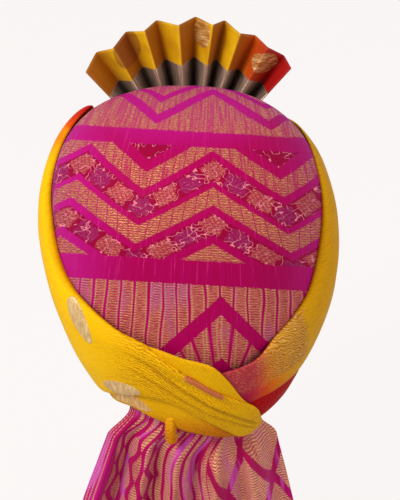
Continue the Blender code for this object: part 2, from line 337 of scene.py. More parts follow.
# %% [markdown]
# All the cloths share one kind of material: dull silk or crepe with a little sheen. It could be copied and
# recoloured, but each cloth here wires in its own colour, relief and metal, so a helper makes a fresh one.
# Colours are typed as on a screen and turned into the linear ones that a shader takes.

# %% Dyes and cloth materials
def dye(red, green, blue):
    """A screen colour from 0 to 255 as a linear one."""
    def linear(c):
        return ((c / 255 + 0.055) / 1.055) ** 2.4 if c > 10 else c / 255 / 12.92

    return linear(red), linear(green), linear(blue), 1.0


def new_cloth_material(name, roughness, sheen, sheen_tint, specular=0.12):
    material = bpy.data.materials.new(name)
    material.use_nodes = True
    shader = material.node_tree.nodes["Principled BSDF"]
    shader.inputs["Roughness"].default_value = roughness
    shader.inputs["Specular IOR Level"].default_value = specular
    shader.inputs["Sheen Weight"].default_value = sheen
    shader.inputs["Sheen Roughness"].default_value = 0.35
    shader.inputs["Sheen Tint"].default_value = sheen_tint
    return material, shader, Field(material.node_tree)


def wire(field, shader, **links):
    """Links fields to the shader's varying sockets, and a height in millimetres through a Bump node."""
    for key, value in links.items():
        if key == "height":
            value = field.node("ShaderNodeBump", {}, {"Strength": 1.0, "Distance": MM, "Height": value})
            key = "Normal"
        field.tree.links.new(value.socket, shader.inputs[key.replace("_", " ")])


def dress(material, *pieces):
    """Gives the pieces this material and no other."""
    for piece in pieces:
        piece.data.materials.clear()
        piece.data.materials.append(material)
    print(material.name, "has", len(material.node_tree.nodes), "nodes, on", ", ".join(p.name for p in pieces))


DEEP = dye(146, 0, 52)
# DARK_GOLD and PALE_GOLD are the gold thread in painted shade and painted highlight, PALE_LILAC the silver
# thread in painted highlight
GOLD, PALE_GOLD, DARK_GOLD = dye(208, 134, 92), dye(232, 178, 128), dye(180, 78, 64)
LILAC, PALE_LILAC, PINK_THREAD = dye(146, 34, 92), dye(176, 92, 142), dye(228, 128, 138)
print("gold thread in linear colour:", [round(c, 3) for c in GOLD[:3]])

# %% [markdown]
# The camera stands behind and above the turban. The woven rows of the crown cloth run straight across from
# there, because the cloth was pulled straight back over the head, so the same view gives the cloth its measure.

# %% Camera
VIEW_TILT, VIEW_FAR, VIEW_X, VIEW_Z = math.radians(25.0), 900.0, 8.5, 15.3
VIEW_PLACE = (VIEW_X, -VIEW_FAR * math.cos(VIEW_TILT), VIEW_Z + VIEW_FAR * math.sin(VIEW_TILT))
bpy.ops.object.select_all(action="DESELECT")
bpy.ops.object.camera_add(location=[c * MM for c in VIEW_PLACE], rotation=(math.pi / 2 - VIEW_TILT, 0.0, 0.0))
camera = bpy.context.object
camera.data.lens, camera.data.sensor_width = 84.16, 36.0
camera.data.clip_start, camera.data.clip_end = 0.05, 50.0
bpy.context.scene.camera = camera
print("camera at", [round(c, 3) for c in camera.location])

# %% [markdown]
# The crown piece is one sheet over the whole dome. An unwrapped map would stretch its weave, so its measure
# down the cloth is taken along slices from nape to brow, which keeps a woven line level. Its measure across
# grows toward the nape, where the cloth spreads.

# %% Measure of the brocade
HALF_CHEVRON, PEAK_X, WEAVE_TILT = 54.0, 10.0, 0.058
SLICES, SLICE_PIVOT, SLICE_START = np.linspace(-96.0, 98.0, 98), 20.0, -0.62
SKIRT_FALL, LEAST_STEP = 125.0, 0.36


def seen(x, y, z):
    """Millimetres across and up from the middle of the view, as at the view's middle distance."""
    far = VIEW_FAR + y * math.cos(VIEW_TILT) - (z - VIEW_Z) * math.sin(VIEW_TILT)
    up = y * math.sin(VIEW_TILT) + (z - VIEW_Z) * math.cos(VIEW_TILT)
    return VIEW_FAR * (x - VIEW_X) / far, VIEW_FAR * up / far


def dome_slice(x, count=400):
    """Points of the crown's surface over one slice, from its lowest at the back over the top to the front."""
    angle = np.linspace(SLICE_START, 1.0, count) * math.pi / 2
    upper = WAIST + (CROWN_TOP - WAIST) * np.sin(np.abs(angle)) ** (2 / DOME_POWER)
    z = np.where(angle < 0, WAIST + SKIRT_FALL * angle, upper)
    rise = np.clip((z - WAIST) / (CROWN_TOP - WAIST), 0.0, 1.0)
    shrink = (1.0 - rise ** DOME_POWER) ** (1.0 / DOME_POWER)
    drop = tuck(z)
    side = (HALF_WIDTH - WRAP_LIFT) * (1.0 - TUCK_SIDE * drop) * np.maximum(shrink, 0.001)
    share = np.clip(np.abs(x - lean(z)) / side, 0.0, 1.0)
    depth = shrink * (1.0 - share ** PLAN_POWER) ** (1.0 / PLAN_POWER)
    back = -(BACK_REACH - WRAP_LIFT) * (1.0 - TUCK_BACK * drop) * depth
    keep = share < 1.0
    return np.concatenate((back[keep], -back[keep][::-1])), np.concatenate((z[keep], z[keep][::-1]))


def slice_angle(y, z):
    return np.arctan2(z + SLICE_PIVOT, -y)


def measure_table():
    """For each slice, the angles of its points and how far down the cloth they lie."""
    table = []
    for x in SLICES:
        y, z = dome_slice(x)
        _, up = seen(x, y, z)
        run = np.hypot(np.diff(y), np.diff(z))
        step = np.maximum(np.diff(up), LEAST_STEP * run)
        start = int(np.argmin(np.abs(z[: len(z) // 2] - WAIST)))
        down = np.concatenate(((0.0,), np.cumsum(step)))
        table.append((slice_angle(y, z), down - down[start] + up[start]))
    return table


MEASURE = measure_table()


def brocade_measure(u, v, x, y, z):
    """Across in steps of half a chevron, and down in millimetres with the weave's slight tilt taken out."""
    angle = slice_angle(y, z)
    at = np.clip((x - SLICES[0]) / (SLICES[1] - SLICES[0]), 0.0, len(SLICES) - 1.001)
    down = np.zeros_like(x)
    for number, (angles, downs) in enumerate(MEASURE):
        order = np.argsort(angles)
        near = np.clip(1.0 - np.abs(at - number), 0.0, 1.0)
        down += near * np.interp(angle, angles[order], downs[order])
    across, _ = seen(x, y, z)
    level = np.clip(down, -110.0, 125.0)
    spread = 60.3 - 0.12 * level - 0.00052 * level ** 2
    return HALF_CHEVRON * (across - PEAK_X) / spread, down + WEAVE_TILT * across


middle_downs = MEASURE[len(MEASURE) // 2][1]
print("the cloth's measure over the middle slice runs from", [round(float(middle_downs[i])) for i in (0, -1)])

# %% [markdown]
# The sheet rises from the tucked skirt at the nape to the crown. Over the brow it is drawn in flat, which makes
# the pocket for the fan. A cloth simulation would drape it too, but not place the woven lines. Real cloth that
# is pulled over a padded ring shows faint dents, so a soft unevenness presses it inward.

# %% Crown cloth
DENT, POCKET_CORNER = 0.3, 8


def pocket_bow(x):
    return POCKET_BOW * np.minimum(np.abs(x) / POCKET_HALF, 1.0) ** 2


def crown_place(u, v):
    turn = 180.0 + 360.0 * u
    toward_front = smooth((180.0 - from_front(turn) - SKIRT_TURN) / (SKIRT_END_TURN - SKIRT_TURN))
    low = rim(turn) + SKIRT_RISE
    low = low + (WINDING_TOP + 1.0 - low) * toward_front
    share = (low - WAIST) / (CROWN_TOP - WAIST)
    start = np.where(low > WAIST, np.arcsin(np.clip(share, 0, 1) ** (DOME_POWER / 2)) / (math.pi / 2), share)
    place = start + (1.0 - start) * v
    upper = WAIST + (CROWN_TOP - WAIST) * np.sin(np.clip(place, 0, 1) * math.pi / 2) ** (2 / DOME_POWER)
    z = np.where(place < 0.0, WAIST + place * (CROWN_TOP - WAIST), upper)
    round_x, round_y = np.cos(np.radians(turn)) * 7.0, np.sin(np.radians(turn)) * 7.0
    dent = DENT * (uneven(round_x + z / 22.0, round_y, 11) - 1.0) * smooth((1.0 - v) * 6.0)
    x, y, z = wound(turn, z, -WRAP_LIFT + dent)
    flat = FRONT_REACH - POCKET_DEPTH - pocket_bow(x)
    drawn_in = y / (1.0 + (np.abs(y) / flat) ** POCKET_CORNER) ** (1.0 / POCKET_CORNER)
    return x, np.where(y > 0.0, drawn_in, y), z


crown = cloth_grid("crown_brocade", 300, 96, crown_place, brocade_measure)
soft_shade(give_wall(outward(crown), thickness=1.4))
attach(crown, "root")
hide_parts("crown_cloth")

# %% [markdown]
# Brocade is a silk ground with patterns laid in by extra gold thread. The gold lies in fine crosswise rows
# that stand a little proud. Real threads would be millions of shapes, so the rows are sine waves over the
# cloth's own measures, and colour and bump come from the same rows.

# %% Woven parts of the brocade
def gold_rows(f, across, down, pitch=1.9):
    """How much gold shows, and how high it stands, in crosswise rows of metal thread."""
    sway = f.noise(across * 0.45, down * 0.22, 2.0) * 3.0
    rows = ((down + sway) * (2 * math.pi / pitch)).sine() * 0.5 + 0.5
    stitch = f.noise(across * 1.1, down * 1.6, 2.0, 3.7)
    return rows * 0.5 + stitch * 0.8, rows


def silk_ground(f, across, down):
    """Magenta silk with fine upright threads, a few lighter, and a painted violet sheen at the sides and the
    top.
    """
    thread = f.noise(across * 1.6, down * 0.03, 2.0, 1.3)
    # painted sheen: violet where the cloth turns away from the view, at the sides and the top
    violet_sheen = (1.0 - f.place(0).over(-100.0, -30.0)).either(f.place(0).over(55.0, 100.0) * 0.5)
    violet_sheen = violet_sheen.either(f.place(2).over(119.0, 134.0) * 0.8)
    colour = thread.over(0.35, 0.75).mix(dye(160, 0, 70), dye(172, 0, 92))
    colour = (violet_sheen * 0.8).mix(colour, dye(186, 14, 132))
    return thread.over(0.64, 0.76).mix(colour, dye(196, 44, 124)), thread


def loose_threads(f, across, down, scale=0.13):
    """Thin wandering threads, as lines where a slow cloud crosses its middle value."""
    cloud = f.noise(across * scale, down * scale * 1.25, 1.0, 5.5)
    return 1.0 - abs(cloud - 0.5).over(0.008, 0.022)


brocade, brocade_shader, f = new_cloth_material(
    "woven_brocade", roughness=0.5, sheen=0.16, sheen_tint=(0.35, 0.0, 0.9, 1.0), specular=0.05)
across, level = f.cloth()
print(brocade.name, "starts with", len(brocade.node_tree.nodes), "nodes")

# %% [markdown]
# The crown's pattern is bands, chevrons and boxes. It could be painted, but each part is only a comparison of
# the two measures, and a folded measure across turns a level band into a chevron. Past the top of the crown,
# out of sight from behind, the pattern runs back the other way.

# %% Bands and chevrons of the crown
TURN_BACK, PEAK_SHIFT, WOVEN_EDGE = 136.0, 5.2, 0.3
CHEVRON_RISE, ZIGZAG_RISE = 33.0, 26.0
down = TURN_BACK - abs(level - TURN_BACK)
edge = down + (f.noise(across * 0.8, level * 0.5, 1.0, 2.2) - 0.5) * 2.6
near_peak = across.fold(HALF_CHEVRON)
chevron = edge + near_peak * (CHEVRON_RISE / HALF_CHEVRON)
zigzag = edge + near_peak * (ZIGZAG_RISE / HALF_CHEVRON)
peak = edge + (across - PEAK_SHIFT).fold(HALF_CHEVRON) * 1.15
top, low = edge.over(90.9, 91.5), 1.0 - edge.over(-27.3, -26.7)
band = edge.between(79.5, 91.2, WOVEN_EDGE).either(edge.between(-27.0, -8.2, WOVEN_EDGE))
middle = (1.0 - top) * (1.0 - low) * (1.0 - band)
print("a chevron is", 2 * HALF_CHEVRON, "steps across and rises", CHEVRON_RISE, "mm")

# %% [markdown]
# Between the chevrons run two crimson rows of slanting boxes, silver and gold by turns, under a tangle of loose
# threads. A row's own measure, tilted and folded, marks its boxes.

# %% Boxes between the chevrons
BOXES = 3.0
silk, thread = silk_ground(f, across, down)
gold, rows = gold_rows(f, across, down)
upper_row, lower_row = chevron.between(54.0, 71.2, WOVEN_EDGE), chevron.between(12.4, 28.8, WOVEN_EDGE)
crimson_ground = middle * chevron.over(100.2, 100.8).either(upper_row).either(lower_row)
wander = (f.noise(across * 0.2, down * 0.2, 1.0) - 0.5) * 0.3
off_middle = upper_row * (chevron - 62.5) + (1.0 - chevron.over(28.8, 29.2)) * (chevron - 20.5)
box = near_peak * (BOXES / HALF_CHEVRON) + wander - off_middle * 0.026
box_row = chevron.between(55.6, 69.6, 0.6).either(chevron.between(14.0, 27.2, 0.6))
in_box = (1.0 - box.fold(0.5).over(0.385, 0.425)) * box_row
silver = box.fold(1.0).over(0.45, 0.55)
loops = loose_threads(f, across, down) * crimson_ground
print("boxes on each slope of a chevron:", BOXES)

# %% [markdown]
# The gold fills stripes of the chevrons, the field above the upper band and the field below the lower one. The
# lower field is split into ladder-stitched columns that fan out under a pointed line. One mask for each, added
# together, says where gold may show.

# %% Where the gold lies
HALF_COLUMN = 4.6
streak = f.noise(across * 0.5, down * 0.045, 2.0, 4.4)
bent = across + (f.noise(across * 0.05, down * 0.02, 1.0, 8.1) - 0.5) * 7.0 + 0.6
wide = f.noise(across * 0.11, down * 0.01, 1.0, 6.6)
column = bent.fold(HALF_COLUMN)
ribs = 1.0 - column.over(2.9 + wide * 1.2, 3.6 + wide * 1.2)
beads = column.between(2.2 + wide * 1.2, 3.3 + wide * 1.2, 0.5)
seams = 1.0 - (near_peak + (chevron - 42.0) * 0.16).fold(4.3).over(3.8, 4.1) * 0.9
fine = 1.0 - streak.over(0.54, 0.62) * 0.75
upper_gold = chevron.between(77.5, 91.0, WOVEN_EDGE) * fine * seams
lower_gold = chevron.between(35.2, 49.1, WOVEN_EDGE) * seams
striped = (upper_gold + lower_gold + (1.0 - chevron.over(4.9, 5.5))).both(1.0)
in_middle = middle * striped.either(in_box * (1.0 - silver) * 0.6)
lines = zigzag.between(121.5, 129.0, WOVEN_EDGE).either(zigzag.between(138.0, 144.0, WOVEN_EDGE))
in_top = top * (1.0 - lines)
caret = peak.between(-49.0, -34.3, WOVEN_EDGE).either(1.0 - peak.over(-82.6, -82.0))
spoke = (across - PEAK_SHIFT) * 42.0 / (down + 128.0) + (wide - 0.5) * 2.0
fanned = 1.0 - spoke.fold(4.4).over(3.2, 3.9)
inside = 1.0 - peak.over(-42.0, -41.0)
in_low = low * (1.0 - caret) * (inside * fanned + (1.0 - inside) * ribs)
gold_here = (in_middle + in_top + in_low).both(1.0)
print("gold columns are", 2 * HALF_COLUMN, "steps apart")

# %% [markdown]
# Last, the silk, the boxes' lilac and the gold are mixed in that order, as they lie on each other. The gold
# keeps a red ground between its rows, and its relief is the rows' own height.

# %% Brocade shader of the crown
veil = f.noise(across * 0.55, down * 0.9, 3.0, 6.1)
colour = crimson_ground.mix(silk, (in_box * (1.0 - silver)).mix(DEEP, dye(176, 40, 76)))
lilac = crimson_ground * in_box * silver
colour = (lilac * 0.62).mix(colour, LILAC)
# painted highlights on the silver boxes, pale lilac where a noise is high
colour = (lilac * veil.over(0.50, 0.68) * 0.5).mix(colour, PALE_LILAC)
upright = top * streak.over(0.42, 0.60)
rungs = ((down + (wide - 0.5) * 9.0) * math.pi).sine().over(-0.55, 0.1)
stitched = low * (rungs * 0.85 + beads * 0.3)
shining = gold.over(0.32, 0.72) * (1.0 - (top + low) * 0.6) + top * 0.5 + stitched * 0.62
metal = (gold_here * shining * (1.0 - upright * 0.75)).both(1.0)
tone = f.noise(across * 0.35, down * 1.3, 2.0, 9.9)
# painted shade and highlight on the gold: dark and pale copies of it mixed by noise, and pale on the crests of
# the rows
gilt = tone.over(0.3, 0.62).mix(DARK_GOLD, GOLD)
gilt = ((tone.over(0.55, 0.8) * rows).either(low * beads * 0.45)).mix(gilt, PALE_GOLD)
# painted lilac sheen over the gold of the lower field, placed by a slow noise
lilac_sheen = f.noise(across * 0.055, down * 0.02, 1.0, 2.9).over(0.50, 0.66) * low
gilt = (lilac_sheen * 0.6).mix(gilt, dye(196, 120, 160))
colour = (gold_here * 0.4).mix(colour, dye(176, 44, 74))
colour = metal.mix(colour, gilt)
hatch = ((across + down * 0.55) * 1.9).sine().over(0.62, 0.86)
hatch = hatch.either(((across * 0.7 - down) * 1.7).sine().over(0.66, 0.9))
colour = (crimson_ground * in_box * hatch * 0.65).mix(colour, dye(142, 0, 66))
colour = loops.mix(colour, PINK_THREAD)
height = metal * (0.20 + 0.22 * rows) + band * 0.22 + (1.0 - crimson_ground) * 0.2
height = height + thread * 0.15 + loops * 0.35
wire(f, brocade_shader, Base_Color=colour, height=height, Metallic=metal * 0.35, Roughness=0.62 - metal * 0.2)
dress(brocade, crown)

# %% [markdown]
# The last turn is the same yellow cloth folded lengthwise into a soft roll. A curve with a bevel would give it
# one section all along, but here its width and fullness change, so it follows a table of stations: from its
# start under the crossing at the nape, up the right side, over the brow, down the left side and across to its
# tucked end. Heights are shares of the crown's height, and lifts and fullness are shares of the wrap's lift.

# %% Stations of the last turn
LAST_TURN = (
    # up_turn, up_height, low_turn, low_height, up_lift, low_lift, fullness
    (11.0, -0.21, 11.0, -0.50, -0.36, -0.36, 0.26),
    (26.0, -0.17, 30.0, -0.46, -0.50, -0.36, 0.28),
    (37.0, -0.08, 43.0, -0.42, -0.96, -0.10, 0.40),
    (47.0, -0.005, 55.0, -0.395, -0.985, -0.02, 0.50),
    (57.0, 0.09, 65.0, -0.365, -0.985, -0.02, 0.55),
    (64.0, 0.27, 74.0, -0.32, -0.985, -0.02, 0.60),
    (70.0, 0.46, 83.0, -0.27, -0.985, -0.02, 0.60),
    (79.0, 0.64, 92.0, -0.235, -0.985, -0.08, 0.50),
    (93.0, 0.725, 101.0, -0.22, -0.96, -0.34, 0.36),
    (110.0, 0.74, 112.0, -0.08, -0.78, -0.34, 0.28),
    (134.0, 0.71, 134.0, 0.17, -0.10, -0.34, 0.34),
    (157.0, 0.70, 157.0, 0.335, 0.25, -0.34, 0.34),
    (180.0, 0.69, 180.0, 0.42, 0.20, -0.34, 0.34),
    (203.0, 0.70, 203.0, 0.335, 0.25, -0.34, 0.34),
    (225.0, 0.77, 226.0, 0.17, -0.20, -0.34, 0.36),
    (237.0, 0.84, 238.0, 0.05, -0.70, -0.34, 0.46),
    (248.0, 0.87, 249.0, -0.08, -0.78, -0.34, 0.62),
    (262.0, 0.725, 259.0, -0.22, -0.96, -0.34, 0.80),
    (275.0, 0.565, 270.0, -0.31, -0.985, -0.60, 0.95),
    (287.0, 0.42, 283.0, -0.41, -0.985, -0.96, 1.05),
    (295.0, 0.28, 295.0, -0.48, -0.985, -0.96, 1.15),
    (305.0, 0.16, 306.0, -0.507, -0.985, -0.75, 1.12),
    (319.0, 0.09, 317.0, -0.455, -0.80, -0.32, 0.74),
    (333.0, 0.01, 329.0, -0.400, -0.62, -0.15, 0.56),
    (345.0, -0.045, 341.0, -0.366, -0.50, -0.10, 0.50),
    (355.0, -0.15, 353.0, -0.395, -0.10, -0.05, 0.36),
    (366.0, -0.275, 365.0, -0.50, 0.14, 0.05, 0.28),
    (374.0, -0.345, 376.0, -0.59, 0.17, 0.08, 0.30),
    (383.0, -0.41, 386.0, -0.665, 0.18, 0.12, 0.36),
    (388.5, -0.455, 394.0, -0.685, 0.18, 0.14, 0.42),
    (392.5, -0.50, 399.0, -0.675, 0.18, 0.16, 0.40),
    (395.5, -0.55, 401.5, -0.65, 0.18, 0.17, 0.34),
    (398.5, -0.59, 401.5, -0.62, 0.18, 0.18, 0.16),
)
print("stations of the last turn:", len(LAST_TURN))

# %% [markdown]
# Two tables of this kind are used, for this turn and for the one under it, so the helpers take the table. The
# roll's section is a flattened ring, a full outer face and a flat inner one, and its measure runs evenly along.

# %% Follow a table of stations
def run_of(table, count=1200):
    """Length along the middle of a band at each place in its table, in millimetres."""
    place = np.linspace(0.0, len(table) - 1, count)
    rows = blend(table, place)
    x, y, z = wound((rows[0] + rows[2]) / 2, CROWN_TOP * (rows[1] + rows[3]) / 2, 0.0)
    steps = np.sqrt(np.diff(x) ** 2 + np.diff(y) ** 2 + np.diff(z) ** 2)
    return place, np.concatenate(((0.0,), np.cumsum(steps)))


def even_places(table):
    """Turns an even share of the run into a place in the table."""
    place, run = run_of(table)
    return lambda share: np.interp(share * run[-1], run, place), run[-1]


def apart(low, high):
    return np.sqrt(sum((a - b) ** 2 for a, b in zip(high, low)))


def width_at(rows):
    return apart(wound(rows[2], CROWN_TOP * rows[3], 0.0), wound(rows[0], CROWN_TOP * rows[1], 0.0))


def face_share(v):
    """How far up the roll a point is: v runs over the full outer face and back along the inner one."""
    return np.where(v <= 0.5, 0.5 - 0.5 * np.cos(2.0 * np.pi * v), 2.0 - 2.0 * v)


def band_place(table, drape, seed):
    """A soft roll along a table."""
    place_at, length = even_places(table)

    def place(u, v):
        rows = blend(table, place_at(u))
        share = face_share(v)
        swell = np.where(v <= 0.5, np.maximum(1.0 - np.abs(2.0 * share - 1.0) ** 4, 0.0) ** 0.25, 0.0)
        turn = rows[2] + (rows[0] - rows[2]) * share
        z = CROWN_TOP * (rows[3] + (rows[1] - rows[3]) * share)
        inner = rows[4] + (rows[5] - rows[4]) * (1.0 - share * share)
        run = u * length
        lines = uneven(run / 30.0, share * 22.0 + run / 55.0, seed)
        lines = lines + 0.6 * uneven(run / 12.0, share * 9.0, seed + 1)
        calm = smooth(u * 14.0) * smooth((1.0 - u) * 14.0)
        return wound(turn, z, WRAP_LIFT * (inner + rows[6] * swell) + drape * lines * swell * calm)

    def measure(u, v, x, y, z):
        return u * length, face_share(v) * width_at(blend(table, place_at(u)))

    return place, measure, length


print("the last turn is", round(float(run_of(LAST_TURN)[1][-1])), "mm long")

# %% [markdown]
# Creases and stitches keep to the roll's upper edge, whose place in the first measure changes with the width.
# A second UV map, counted in from that edge, lets the material follow it.

# %% Last turn
def edge_measure(table):
    """Millimetres in from the upper edge, and along."""
    place_at, length = even_places(table)

    def measure(u, v):
        return (1.0 - face_share(v)) * width_at(blend(table, place_at(u))), u * length

    return measure


def add_measure(obj, name, across, along, measure):
    """A second UV map, read back from the grid's own order of points."""
    v, u = np.divmod(np.arange(len(obj.data.vertices)), across + 1)
    corner = np.empty(len(obj.data.loops), np.int32)
    obj.data.loops.foreach_get("vertex_index", corner)
    marks = np.stack(measure(u / across, v / along), 1)[corner]
    layer = obj.data.uv_layers.new(name=name)
    layer.data.foreach_set("uv", marks.astype(np.float32).ravel())


LAST_GRID = (430, 72)
place, measure, last_length = band_place(LAST_TURN, drape=0.55, seed=21)
last_turn = cloth_grid("last_turn_cloth", *LAST_GRID, place, measure)
add_measure(last_turn, "edge", *LAST_GRID, edge_measure(LAST_TURN))
outward(last_turn, closed=True)
soft_shade(last_turn)
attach(last_turn, "root")
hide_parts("last_turn")

# %% [markdown]
# Under the roll's end two single layers show. A smooth flap of the same cloth stands out above it, where the
# fold was turned back, and a loose layer hangs out below it, pinched into a small nub. Both follow tables too,
# because each must stay inside the packed solid, and their free edges roll a little inward.

# %% Flap and lower layer
FLAP = (
    # low_turn, low_height, up_turn, up_height, low_lift, up_lift
    (338.0, -0.10, 339.0, -0.04, -0.10, -0.30),
    (348.0, -0.21, 349.0, -0.06, 0.00, -0.30),
    (357.0, -0.29, 358.5, -0.105, 0.05, -0.10),
    (365.0, -0.35, 367.0, -0.145, 0.12, 0.16),
    (374.0, -0.41, 373.0, -0.235, 0.14, 0.20),
    (382.0, -0.46, 380.5, -0.37, 0.14, 0.20),
    (388.0, -0.49, 386.5, -0.445, 0.14, 0.18),
    (393.0, -0.52, 391.0, -0.50, 0.13, 0.16),
)
LOWER_LAYER = (
    (308.0, -0.517, 309.0, -0.42, -0.55, -0.62),
    (318.0, -0.505, 318.0, -0.38, -0.15, -0.42),
    (330.0, -0.485, 330.0, -0.33, -0.04, -0.28),
    (342.0, -0.52, 342.0, -0.30, 0.02, -0.22),
    (353.0, -0.57, 352.0, -0.33, 0.04, -0.18),
    (365.0, -0.615, 364.0, -0.44, 0.14, -0.08),
    (376.0, -0.645, 375.0, -0.53, 0.18, -0.04),
    (388.0, -0.675, 387.0, -0.61, 0.18, 0.02),
    (396.0, -0.685, 396.0, -0.64, 0.16, 0.05),
)
STATION_RUN = 18.0


def rolled(past):
    """0 over the cloth, rising to 1 at its free edge."""
    return np.clip(past, 0.0, 1.0) ** 3


def layer_place(table, drape, seed, roll_up, roll_low):
    """A single layer along a table, with edges that roll inward."""
    last = len(table) - 1

    def place(u, v):
        low_turn, low_z, up_turn, up_z, low_lift, up_lift = blend(table, u * last)
        turn = low_turn + (up_turn - low_turn) * v
        z = CROWN_TOP * (low_z + (up_z - low_z) * v)
        lift = WRAP_LIFT * (low_lift + (up_lift - low_lift) * v)
        lift = lift - roll_up * rolled((v - 0.88) / 0.12) - roll_low * rolled((0.14 - v) / 0.14)
        return wound(turn, z, lift + drape * uneven(turn / 3.4, z / 9.0, seed))

    def measure(u, v, x, y, z):
        rows = blend(table, u * last)
        low = wound(rows[0], CROWN_TOP * rows[1], 0.0)
        high = wound(rows[2], CROWN_TOP * rows[3], 0.0)
        return u * last * STATION_RUN, v * apart(low, high)

    return place, measure


flap = cloth_grid("flap_layer", 110, 30, *layer_place(FLAP, 0.25, 31, roll_up=1.2, roll_low=0.0))
soft_shade(give_wall(outward(flap), thickness=1.1))
lower_layer = cloth_grid("lower_layer", 150, 26, *layer_place(LOWER_LAYER, 0.5, 32, roll_up=0.0, roll_low=1.8))
soft_shade(give_wall(outward(lower_layer), thickness=1.3))
for piece, size, cut in ((flap, (0.117, 0.028), 0.00205), (lower_layer, (0.147, 0.033), 0.00302)):
    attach(piece, "root")

# %% [markdown]
# The nub is a pinch of the lower layer, twisted into a short finger that points down. A stretched ball would do
# for its shape, but a grid that is closed into a tube keeps the cloth's measure, so the crepe grain fits.

# %% Nub
NUB_TOP, NUB_DROP, NUB_RADIUS, NUB_TWIST = -66.0, 23.0, 4.1, 2.5


def nub_place(u, v):
    around = 2.0 * math.pi * u
    x0, y0, _ = wound(351.0, NUB_TOP, -3.2)
    x1, y1, _ = wound(350.0, NUB_TOP - NUB_DROP, 3.0)
    down = 0.5 - 0.5 * np.cos(math.pi * v)
    closing = np.clip(1.0 - np.abs(2.0 * v - 1.0) ** 3.2, 0.0, 1.0) ** 0.5
    ribbed = 1.0 - 0.12 * np.cos(3 * around + NUB_TWIST * down)
    radius = NUB_RADIUS * closing * ribbed * (0.8 + 0.35 * down)
    x = x0 + (x1 - x0) * down + radius * np.cos(around)
    y = y0 + (y1 - y0) * down - 1.2 * np.sin(math.pi * v) + radius * np.sin(around) * 0.8
    return x, y, NUB_TOP - NUB_DROP * down


nub = cloth_grid("pinched_nub", 32, 24, nub_place, lambda u, v, x, y, z: (u * 26.0, v * NUB_DROP))
soft_shade(outward(nub, closed=True))
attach(nub, "root")

# %% [markdown]
# A crimson turn shows for a short way under the last turn at the right. Only its visible stretch is needed, so
# it is a short roll with a table of its own, whose lower edge bulges out under the yellow one.

# %% Under turn
UNDER_TURN = (
    (13.0, -0.43, 13.0, -0.61, -0.64, -0.40, 0.20),
    (26.0, -0.40, 26.0, -0.61, -0.62, -0.22, 0.24),
    (38.0, -0.36, 38.0, -0.60, -0.60, -0.10, 0.34),
    (50.0, -0.33, 51.0, -0.57, -0.62, -0.06, 0.44),
    (62.0, -0.30, 64.0, -0.53, -0.80, -0.20, 0.56),
    (74.0, -0.25, 76.0, -0.45, -0.90, -0.50, 0.64),
    (84.0, -0.19, 86.0, -0.34, -0.93, -0.85, 0.60),
    (92.0, -0.14, 93.0, -0.26, -0.93, -0.93, 0.45),
)
place, measure, under_length = band_place(UNDER_TURN, drape=0.3, seed=41)
under_turn = cloth_grid("under_turn_cloth", 130, 48, place, measure)
soft_shade(outward(under_turn, closed=True))
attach(under_turn, "root")
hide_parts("under_turn")
print("length of the under turn in mm:", round(under_length))

# %% [markdown]
# Over the brow the cloth is laid in flat folds, each covering the upper half of the one below. They could be
# one pleated sheet, but in the packed model each fold is a solid of its own, so one function runs four times.

# %% Front folds
FOLD_STEP, FOLD_WIDTH, FOLD_CLOTH, FOLD_LIFT, FOLD_TURN, FOLD_PINCH = 16.0, 26.0, 2.4, 4.9, 78.0, 0.33
FOLD_ROLL, FOLD_DRAPE = 1.9, 0.3


def fold_place(number):
    def place(u, v):
        turn = 180.0 + FOLD_TURN * (2.0 * u - 1.0)
        pinch = 1.0 - (1.0 - FOLD_PINCH) * from_front(turn) / FOLD_TURN
        z = rim(turn) + number * FOLD_STEP * pinch + FOLD_WIDTH * pinch * v
        lift = FOLD_CLOTH - WRAP_LIFT - CLOTH + FOLD_LIFT * (1.0 - v)
        drape = FOLD_DRAPE * uneven(turn / 7.0, z / 7.0 + number, 51 + number)
        return wound(turn, z, lift - FOLD_ROLL * rolled((0.16 - v) / 0.16) + drape)

    return place


def fold_measure(u, v, x, y, z):
    return 320.0 * u, FOLD_WIDTH * v


for number in range(4):
    fold = cloth_grid(f"front_fold_cloth_{number + 1}", 200, 22, fold_place(number), fold_measure)
    soft_shade(give_wall(outward(fold), thickness=1.7))
    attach(fold, "root")
    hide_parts(f"front_fold_{number + 1}")

# %% [markdown]
# The fan is the starched end of the cloth, pleated like paper and opened. An array of one pleat would make all
# alike, but here each fold has its own turn and reach, so they are listed. Each pleat runs between two folds,
# and the folds are rounded a little by averaging each point with its neighbours across the pleats.

# %% Fan
FAN_PANELS, FAN_ROOT_Z, FAN_STAND, FAN_HALF_TURN = 14, 39.0, 11.5, 41.0
FAN_REACH, FAN_PANEL, FAN_FLAT = 132.5, 20.5, 1.5
FAN_FOLDS = np.array((
    # turn, reach
    (-1.00, 0.940), (-0.86, 0.970), (-0.685, 0.962), (-0.55, 0.988), (-0.385, 0.985), (-0.275, 0.998),
    (-0.093, 0.982), (0.054, 1.000), (0.195, 0.993), (0.300, 1.000), (0.434, 0.983), (0.585, 0.975),
    (0.700, 0.974), (0.885, 0.961), (0.965, 0.952),
))
FAN_ROUNDING = ((-0.34, 0.12), (-0.17, 0.22), (0.0, 0.32), (0.17, 0.22), (0.34, 0.12))
FAN_STEPS = 2 * FAN_PANELS - 1


